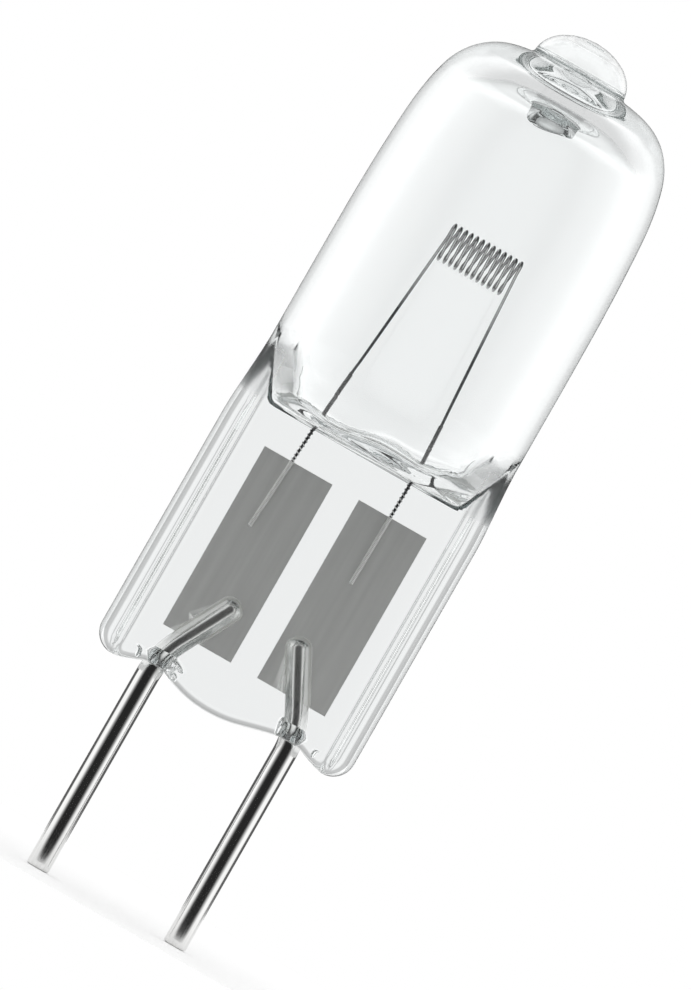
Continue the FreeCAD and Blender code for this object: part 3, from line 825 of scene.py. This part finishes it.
def outer_profile():
    """Profile of the bulb's outer surface, up over the dome and the exhaust tip."""
    side = BULB_LINE[(BULB_LINE[:, 1] > DOME_CUT) & (BULB_LINE[:, 0] > DOME_END_RADIUS)]
    tip = TIP_LINE[(TIP_LINE[:, 1] > TIP_START_Z) & (TIP_LINE[:, 0] > 0.03)]
    corners = np.concatenate([[(side[0, 0], DOME_CUT)], side, tip, [(0, TIP_TOP)]])
    return thinned(fair(corners, spacing=0.03, spread=0.05), stride=0.6, turn=0.07)


def inner_profile(quartz):
    """Profile of the bulb's inner surface, up over the dome and round the exhaust tube's stub."""
    slope = unit(np.gradient(BULB_LINE, axis=0))
    thicker = (quartz.crown_wall - quartz.wall) / MM
    wall = quartz.wall / MM + thicker * step(*CROWN_EASE, BULB_LINE[:, 1])
    line = BULB_LINE + wall[:, None] * np.stack([-slope[:, 1], slope[:, 0]], 1)
    line = line[(line[:, 1] > DOME_INSIDE_START) & (line[:, 0] > DOME_INSIDE_END)]
    low = LOW_LINE[(LOW_LINE[:, 1] > DOME_CUT) & (LOW_LINE[:, 1] < LOW_LINE_END)]
    start = (np.interp(DOME_CUT, *LOW_LINE.T[::-1]), DOME_CUT)
    root = [tuple(line[-1]), (STUB_ROOT[0], line[-1, 1] - STUB_ROOT[1])] + STUB
    line = np.concatenate([[start], low, line[:-1], smoothed(root)])
    return thinned(line, stride=0.6, turn=0.08)


def ragged(vertices):
    """Uneven end of the exhaust tube, as it was melted off."""
    radius, angle = polar(vertices)
    share = step(*STUB_END, vertices[:, 2]) * step(*STUB_REACH, radius)
    moved = vertices.copy()
    moved[:, 2] += share * (wave(angle, *STUB_WAVES[0]) + wave(angle, *STUB_WAVES[1]))
    return moved


class BuildEnvelope(bpy.types.Operator):
    """Blown and pressed quartz envelope, one closed piece of glass with its hollow"""
    bl_idname = "capsule_bulb.envelope"
    bl_label = "Quartz envelope"

    def execute(self, context):
        quartz = context.scene.bulb_quartz
        vertices, normals, quads = self.lower_end(quartz)
        parts = [(vertices, normals, quads.tolist())]
        outer, inner = rim_of(quads, vertices)
        for ring, line, outward in ((outer, outer_profile(), True),
                                    (inner, inner_profile(quartz), False)):
            _, angles = polar(vertices[ring])
            radius, height = line[0]
            vertices[ring] = np.stack([radius * np.cos(angles), radius * np.sin(angles),
                                       np.full(len(ring), height)], 1)
            shape, shape_normals, faces = turned(line, angles, outward)
            parts.append((off_centre(ragged(shape)), shape_normals, faces))
        bubble = thinned(fair(BUBBLE, spacing=0.02, spread=0.06), stride=0.3, turn=0.08)
        angles = np.linspace(-math.pi, math.pi, BUBBLE_SIDES + 1)[:-1]
        shape, shape_normals, faces = turned(bubble[1:], angles, False)
        parts.append((off_centre(shape), shape_normals, faces + [list(range(BUBBLE_SIDES))]))
        vertices, normals, faces = joined(parts)
        low, high = (np.array(corner) / MM for corner in CAD_BOX)
        vertices = np.clip(vertices, low, high)
        piece = mesh_piece("quartz_body", vertices, faces, fused_quartz(), normals)
        settle(piece, "quartz_envelope")
        return {"FINISHED"}

    def lower_end(self, quartz):
        """Vertices, normals and quads of the seal and the bulb's lower end, open at the cut."""
        cell = quartz.cell / MM
        reach = quartz.seal_half_width / MM + 2 * cell
        across = np.arange(-reach, reach + cell, cell) + GRID_OFFSET
        up = np.concatenate([np.arange(low, high - 0.5 * stride, stride)
                             for low, high, stride in GRID_LAYERS])
        axes = (across, across, up)
        x, y, z = np.meshgrid(*axes, indexing="ij")
        vertices, quads = surface_net(quartz_distance(x, y, z, quartz), axes)
        for _ in range(NET_PASSES):
            slope = quartz_slope(vertices, NET_REACH, quartz)
            steep = np.maximum((slope ** 2).sum(1), NET_LEAST_SLOPE)
            shift = quartz_distance(*vertices.T, quartz) / steep
            vertices -= np.clip(shift, -NET_LARGEST_SHIFT, NET_LARGEST_SHIFT)[:, None] * slope
        normals = quartz_slope(vertices, NORMAL_REACH, quartz)
        normals /= np.maximum(np.linalg.norm(normals, axis=1), 1e-6)[:, None]
        return vertices, normals, quads


class BuildPins(bpy.types.Operator):
    """Bright contact pins, bent inwards inside the seal"""
    bl_idname = "capsule_bulb.pins"
    bl_label = "Contact pins"

    def execute(self, context):
        metal = context.scene.bulb_metal
        material = bright_molybdenum()
        half = metal.pin_diameter / MM / 2
        points, girth = self.line(half)
        for side, sign in SIDES.items():
            piece = wire_piece(f"contact_pin_{side}", points * (sign, 1, 1), half * MM,
                               metal.pin_sides, material, girth)
            settle(piece, f"pin_{side}")
        return {"FINISHED"}

    def line(self, half):
        """Centre line of the right pin, and its girth with both ends rounded."""
        line = [(PIN_X, 0.0, z) for z in np.linspace(0, PIN_STRAIGHT, 31)]
        line += [(PIN_HUB + PIN_BEND * math.cos(turn), 0.0,
                  PIN_STRAIGHT + PIN_BEND * math.sin(turn))
                 for turn in np.linspace(0, PIN_TURN, 15)[1:]]
        last = np.array(line[-1])
        heading = np.array((PIN_HEADING[0], 0.0, PIN_HEADING[1]))
        line += [tuple(last + heading * PIN_RUN * share) for share in np.linspace(0, 1, 12)[1:]]
        line = np.array(line)
        along = lengths(line)
        ease = np.array([1 - math.cos(angle) for angle in np.linspace(0, math.pi / 2, 7)])
        stations = np.concatenate([PIN_FREE_ROUND * ease, along[1:-1],
                                   along[-1] - PIN_INNER_ROUND * ease[::-1]])
        stations = np.unique(np.round(stations[stations >= 0], 6))
        free = np.clip(1 - stations / PIN_FREE_ROUND, 0, 1)
        inner = np.clip(1 - (along[-1] - stations) / PIN_INNER_ROUND, 0, 1)
        radius = half - PIN_FREE_ROUND * (1 - np.sqrt(1 - free ** 2))
        radius = radius - PIN_INNER_ROUND * (1 - np.sqrt(1 - inner ** 2))
        return sampled(line, along, stations), radius / half


# Foils: points across and along, and how closely the rows crowd at the lower end
FOIL_GRID = (106, 201)
FOIL_CROWDING = 1.35
# Ridge over the pin's inner end, and the bead beside it as height, distance and spread
RIDGE_ROUND = 0.45
BEAD = (0.02, 0.6, 0.12)
# Sheet of foil that hangs from the ridge: its width at places along the left pin, the distance
# from the axis that it reaches on the right, its lift and curve, and where it ends along the pin
FOLD_LEFT = np.array([(-0.5, 0.8), (0.1, 0.72), (0.8, 0.56), (0.95, 0.98), (1.1, 0.9),
                      (2.75, 0.3), (2.9, 0.2)])
FOLD_RIGHT_X = 1.16
FOLD_LEAST = 0.2
FOLD_LIFT = 0.4
FOLD_CURVE = 1.4
FOLD_END = (2.95, 2.6)
# Lift at which the foil is fully burnished
PRESS_FULL = 0.2


class BuildFoils(bpy.types.Operator):
    """Sealing foils, each draped over the inner end of its pin"""
    bl_idname = "capsule_bulb.foils"
    bl_label = "Sealing foils"

    def execute(self, context):
        metal = context.scene.bulb_metal
        material = matt_foil()
        thick = metal.foil_thickness / MM
        crest = metal.pin_diameter / MM / 2 + thick
        columns, rows = FOIL_GRID
        size = columns * rows
        number = np.arange(size).reshape(FOIL_GRID)
        quads = np.stack([number[:-1, :-1], number[1:, :-1], number[1:, 1:], number[:-1, 1:]],
                         -1).reshape(-1, 4)
        rim = np.concatenate([number[:, 0], number[-1, 1:], number[-2::-1, -1],
                              number[0, -2:0:-1]])
        after = np.roll(rim, -1)
        edge = np.stack([after, rim, rim + size, after + size], -1)
        faces = np.concatenate([quads, quads[:, ::-1] + size, edge])
        for side in SIDES:
            low, high = (np.array(corner) / MM for corner in FOIL_BOX[side])
            u = np.linspace(low[0], high[0], columns)
            v = low[2] + (high[2] - low[2]) * np.linspace(0, 1, rows) ** FOIL_CROWDING
            x, z = np.meshgrid(u, v, indexing="ij")
            lift = np.clip(self.draped(x, z, side, crest), thick, crest) - thick
            front = np.stack([x, -(lift + thick), z], -1).reshape(-1, 3)
            back = np.stack([x, -lift, z], -1).reshape(-1, 3)
            piece = mesh_piece(f"sealing_foil_{side}", np.concatenate([front, back]), faces,
                               material)
            press = np.clip(lift / PRESS_FULL, 0, 1).reshape(-1)
            layer = piece.data.attributes.new("press", "FLOAT", "POINT")
            layer.data.foreach_set("value", np.concatenate([press, press]).astype(np.float32))
            piece.data.set_sharp_from_angle(angle=math.radians(50))
            settle(piece, f"foil_{side}")
        return {"FINISHED"}

    def draped(self, x, z, side, crest):
        """Height of the foil over the plane of the pins' axes."""
        across = x * SIDES[side] - PIN_END[0]
        rise = z - PIN_END[1]
        along = across * PIN_HEADING[0] + rise * PIN_HEADING[1]
        aside = across * PIN_HEADING[1] - rise * PIN_HEADING[0]
        past = np.maximum(along - (PIN_RUN - PIN_INNER_ROUND), 0)
        ridge = crest ** 2 - aside ** 2 - (past * crest / RIDGE_ROUND) ** 2
        if side == "left":
            reach = aside / np.interp(along, *FOLD_LEFT.T)
        else:
            width = (FOLD_RIGHT_X - PIN_END[0]) * PIN_HEADING[1] - rise * PIN_HEADING[0]
            reach = -aside / np.maximum(-width, FOLD_LEAST)
        sheet = np.where(reach > 0, FOLD_LIFT * np.clip(1 - reach, 0, 1) ** FOLD_CURVE, 0)
        height, distance, spread = BEAD
        bead = height * np.exp(-((np.abs(aside) - distance) / spread) ** 2) * (along < PIN_RUN)
        return np.maximum(np.sqrt(np.maximum(ridge, 0)), sheet * step(*FOLD_END, along)) + bead


class BuildFilament(bpy.types.Operator):
    """Tungsten filament: one wire with its flat coil and both legs"""
    bl_idname = "capsule_bulb.filament"
    bl_label = "Filament"

    def execute(self, context):
        metal = context.scene.bulb_metal
        left, right = (bezier_chain(LEGS[side], LEG_BEND, LEG_SPACING) for side in SIDES)
        points = np.concatenate([left[:-1], coil_points(), right[::-1][1:]])
        # Painted shade: dark grey on the legs; painted highlight: light grey on the coil
        material = wire_with_painted_light("Tungsten wire, drawn", "#48484A", "#C4C4C4", (26.5, 29.0),
                              metallic=1.0, roughness=0.1)
        piece = wire_piece("filament_wire", points, metal.wire_diameter / 2, WIRE_SIDES, material)
        settle(piece, "filament")
        return {"FINISHED"}


class BuildWindings(bpy.types.Operator):
    """Fine wire wound round the lower part of each leg"""
    bl_idname = "capsule_bulb.windings"
    bl_label = "Leg windings"

    def execute(self, context):
        metal = context.scene.bulb_metal
        # Painted highlight: near white where the winding lies on the foil; painted shade: dark grey
        # above it
        material = wire_with_painted_light("Molybdenum winding, semi-bright", "#FAFAF8", "#585858",
                              (19.9, 20.7), metallic=0.3, roughness=0.2)
        for side in SIDES:
            points = winding_points(side, metal.winding_diameter / MM, metal.winding_pitch / MM)
            piece = wire_piece(f"leg_winding_{side}", points, WINDING_WIRE / 2 * MM,
                               WINDING_SIDES, material)
            settle(piece, f"leg_sleeve_{side}")
        return {"FINISHED"}


# Point of the bulb's plane that the camera faces, along X and Z
VIEW_CENTRE = (0.145, 19.2)
# White light from all sides, brighter away from the middle of the backdrop at +Y
BACKDROP = (0.955, 0.9995, 1.22, 1.0)
# Dark flags round the white sweep, for rays that were mirrored and that passed a surface of the
# glass so many times, at least and at most: the part of the direction that counts, and ramps, of
# which the brightest is taken, as the values of that part at a ramp's ends and the levels there
MANY = 999
FLAGS = (
    # Mirrored in the open, mostly by the pins: dark at the camera and towards the backdrop
    ((1, MANY), (0, 0), "Y", (-0.9, -0.3, 0.02, 1.0)),
    ((1, MANY), (0, 0), "Y", (0.15, 0.4, 1.0, 0.1)),
    # Mirrored in the seal, once or more often: dark at the camera
    ((1, 1), (1, 2), "Y", (-0.9, -0.3, 0.06, 1.0)),
    ((2, MANY), (1, 2), "Y", (-0.9, 0.2, 0.6, 1.0)),
    # Mirrored in the bulb, mostly by the filament: dark all round
    ((1, 2), (3, MANY), "Y", (-0.92, -0.5, 1.0, 0.03), (0.72, 0.9, 0.03, 1.0)),
    # Straight through the bulb, or led along its wall: darker above and below
    ((0, 0), (3, MANY), "|Z|", (0.25, 0.7, 1.0, 0.3)),
    ((3, MANY), (3, MANY), "|Z|", (0.25, 0.7, 1.0, 0.3)),
    # Straight through the seal: darker in a narrow band, to which its rims bend the rays
    ((0, 0), (1, 2), "|Y|", (0.7, 0.78, 1.0, 0.5), (0.93, 0.999, 0.5, 1.0)),
    # Through any glass: a little darker above and below
    ((0, MANY), (1, MANY), "|Z|", (0.3, 0.75, 1.0, 0.6)),
)


class SetStage(bpy.types.Operator):
    """White floor, white studio light with dark flags, and the camera"""
    bl_idname = "capsule_bulb.stage"
    bl_label = "Stage"

    def execute(self, context):
        stage = context.scene.bulb_stage
        half = stage.floor_size / 2
        front = -stage.floor_front
        mesh = bpy.data.meshes.new("studio_floor")
        corners = [(-half, front, 0), (half, front, 0), (half, half, 0), (-half, half, 0)]
        mesh.from_pydata(corners, [], [(0, 1, 2, 3)])
        mesh.materials.append(white_paper(list(stage.floor_colour)))
        floor = placed("studio_floor", mesh)
        self.light(context)
        camera = bpy.data.cameras.new("studio_camera")
        camera.sensor_fit = "VERTICAL"
        camera.sensor_height = 36.0
        camera.lens = camera.sensor_height * stage.camera_distance / stage.view_height
        camera.clip_start = 0.01
        camera.clip_end = 20
        holder = placed("studio_camera", camera)
        cosine, sine = math.cos(stage.camera_roll), math.sin(stage.camera_roll)
        holder.matrix_world = Matrix((
            (cosine, -sine, 0, VIEW_CENTRE[0] * MM), (0, 0, -1, -stage.camera_distance),
            (sine, cosine, 0, VIEW_CENTRE[1] * MM), (0, 0, 0, 1)))
        context.scene.camera = holder
        context.scene.view_settings.view_transform = "Standard"
        # Light that runs along inside the glass wall finds its way out
        context.scene.cycles.max_bounces = 32
        context.scene.cycles.glossy_bounces = 24
        context.scene.cycles.transmission_bounces = 32
        return {"FINISHED"}

    def light(self, context):
        """White backdrop, darkened by the flags for rays that met the glass or the metal."""
        world = context.scene.world or bpy.data.worlds.new("studio_light")
        context.scene.world = world
        world.use_nodes = True
        tree = world.node_tree
        tree.nodes.clear()
        heading = add(tree, "ShaderNodeTexCoord").outputs["Generated"]
        parts = dict(add(tree, "ShaderNodeSeparateXYZ", {"Vector": heading}).outputs.items())
        parts.update({f"|{name}|": maths(tree, "ABSOLUTE", parts[name]) for name in "YZ"})
        ray = add(tree, "ShaderNodeLightPath").outputs

        def counted(kind, least, most):
            depth = ray[f"{kind} Depth"]
            return maths(tree, "MULTIPLY", maths(tree, "GREATER_THAN", depth, least - 0.5),
                         maths(tree, "LESS_THAN", depth, most + 0.5))

        def ramp(part, low, high, first, last):
            return between(tree, parts[part], first, last, low, high, "SMOOTHSTEP")

        level = ramp("Y", *BACKDROP)
        sharp = counted("Diffuse", 0, 0)
        for mirrored, passed, part, first, *others in FLAGS:
            kind = maths(tree, "MULTIPLY", sharp, counted("Glossy", *mirrored))
            kind = maths(tree, "MULTIPLY", kind, counted("Transmission", *passed))
            flag = ramp(part, *first)
            for other in others:
                flag = maths(tree, "MAXIMUM", flag, ramp(part, *other))
            share = add(tree, "ShaderNodeMix", {"Factor": kind, "A": 1.0, "B": flag},
                        data_type="FLOAT").outputs[0]
            level = maths(tree, "MULTIPLY", level, share)
        light = add(tree, "ShaderNodeBackground", {"Color": (1, 1, 1, 1), "Strength": level})
        add(tree, "ShaderNodeOutputWorld", {"Surface": light.outputs[0]})
        world.cycles.sampling_method = "NONE"


class BulbPanel(bpy.types.Panel):
    """Settings and builders of the capsule bulb"""
    bl_idname = "VIEW3D_PT_capsule_bulb"
    bl_label = "Capsule bulb"
    bl_space_type = "VIEW_3D"
    bl_region_type = "UI"
    bl_category = "Capsule bulb"

    def draw(self, context):
        for group in SETTINGS:
            settings = getattr(context.scene, group)
            column = self.layout.column(align=True)
            for name in settings.__annotations__:
                column.prop(settings, name)
        for operator in OPERATORS:
            self.layout.operator(operator.bl_idname)


SETTINGS = {"bulb_quartz": QuartzSettings, "bulb_metal": MetalSettings, "bulb_stage": StageSettings}
OPERATORS = (BuildEnvelope, BuildPins, BuildFoils, BuildFilament, BuildWindings, SetStage)


def register():
    """Adds the settings, the operators and the panel."""
    for cls in (*SETTINGS.values(), *OPERATORS, BulbPanel):
        bpy.utils.register_class(cls)
    for name, cls in SETTINGS.items():
        setattr(bpy.types.Scene, name, PointerProperty(type=cls))


def unregister():
    """Removes what register added."""
    for name in SETTINGS:
        delattr(bpy.types.Scene, name)
    for cls in reversed((*SETTINGS.values(), *OPERATORS, BulbPanel)):
        bpy.utils.unregister_class(cls)


def main():
    """Builds all pieces and the stage."""
    register()
    for operator in OPERATORS:
        family, name = operator.bl_idname.split(".")
        getattr(getattr(bpy.ops, family), name)()


if __name__ == "__main__":
    main()
